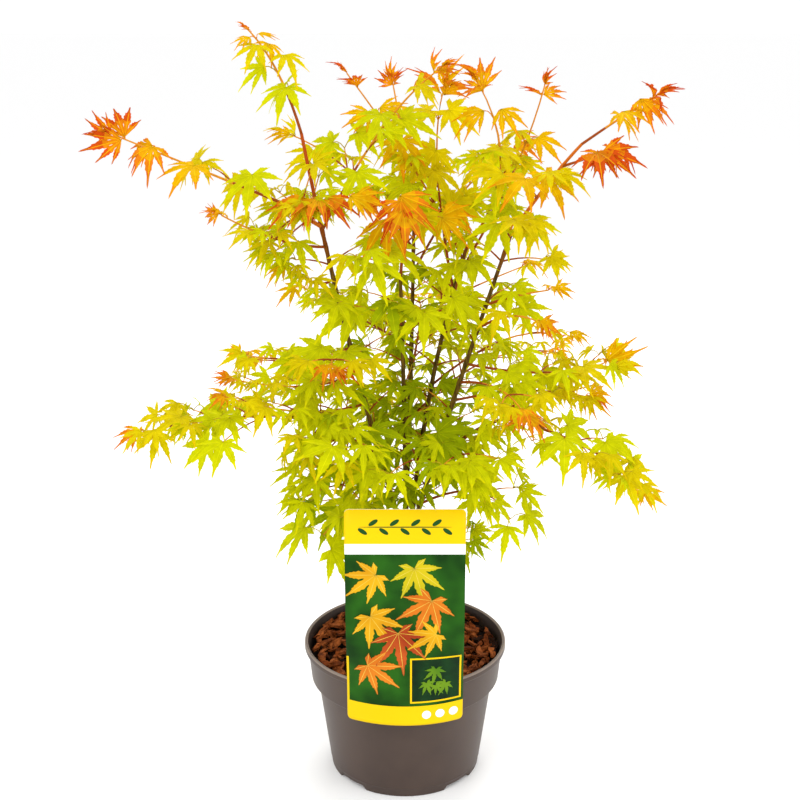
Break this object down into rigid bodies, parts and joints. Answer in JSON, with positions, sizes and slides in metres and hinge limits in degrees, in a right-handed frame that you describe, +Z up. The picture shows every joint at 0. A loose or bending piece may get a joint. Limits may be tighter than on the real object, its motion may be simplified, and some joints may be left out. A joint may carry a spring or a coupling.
{
  "type": "potted japanese maple",
  "caption": "Young japanese maple in a round nursery pot: a short trunk forking into upright stems, layered sprays of lobed lime to orange leaves, bark mulch and a label card over the rim",
  "frame": {"origin": "middle of the pot's flat underside, on the ground", "axes": "+Z up along the pot's axis, -Y to the front where the label card stands, +X to the right as seen from the front"},
  "size_m": [0.5175, 0.3288, 0.6951],
  "materials": {
    "pot_plastic": "satin taupe",
    "bark_chips": "rough red-brown chips",
    "card_print": "smooth printed green, yellow and white",
    "trunk_bark": "olive-brown bark",
    "stem_bark": "brown bark",
    "young_bark": "smooth red-brown bark",
    "leaf_green": "soft matt lime green",
    "leaf_lime": "soft matt yellow-green",
    "leaf_yellow": "soft matt golden yellow",
    "leaf_orange": "soft matt orange",
    "leaf_scarlet": "soft matt red-orange"
  },
  "bodies": {
    "root": {"pot": "pot_plastic", "bark_mulch": "bark_chips", "label_card": "card_print", "trunk": "trunk_bark", "left_stem": "stem_bark", "centre_stem": "stem_bark", "right_stem": "stem_bark", "right_centre_stem": "stem_bark", "back_stem": "stem_bark", "left_upper_bough": "young_bark", "left_lower_bough": "young_bark", "right_lower_bough": "young_bark", "right_leader_bough": "young_bark", "left_top": "leaf_lime", "left_front": "leaf_orange", "left_upper": "leaf_yellow", "left_middle": "leaf_lime", "left_short": "leaf_lime", "left_inner": "leaf_green", "cross_top": "leaf_lime", "centre_top": "leaf_yellow", "centre_upper": "leaf_lime", "right_centre_top": "leaf_yellow", "right_centre_long": "leaf_lime", "right_leader": "leaf_orange", "right_leader_red": "leaf_scarlet", "right_leader_low": "leaf_lime", "right_upper_front": "leaf_green", "centre_front": "leaf_yellow", "centre_left": "leaf_green", "centre_right": "leaf_green", "inner_right": "leaf_green", "right_waist_upper": "leaf_lime", "right_waist_lower": "leaf_lime", "left_tier_upper": "leaf_lime", "left_tier_middle": "leaf_lime", "left_tier_front": "leaf_yellow", "left_lower": "leaf_lime", "left_under": "leaf_green", "bottom_left": "leaf_green", "left_front_low": "leaf_green", "front_low": "leaf_green", "right_front_low": "leaf_green", "right_tier_upper": "leaf_lime", "right_tier_middle": "leaf_lime", "right_tier_front": "leaf_yellow", "right_lower": "leaf_lime", "bottom_right": "leaf_green", "low_shoot": "leaf_green", "left_rear": "leaf_lime", "right_rear": "leaf_lime", "back_left_low": "leaf_lime", "back_right_low": "leaf_lime", "back_low": "leaf_green", "back_left_middle": "leaf_lime", "back_right_middle": "leaf_lime", "back_middle": "leaf_lime", "back_top": "leaf_lime", "back_left_top": "leaf_lime", "back_right_top": "leaf_lime"}
  },
  "joints": []
}
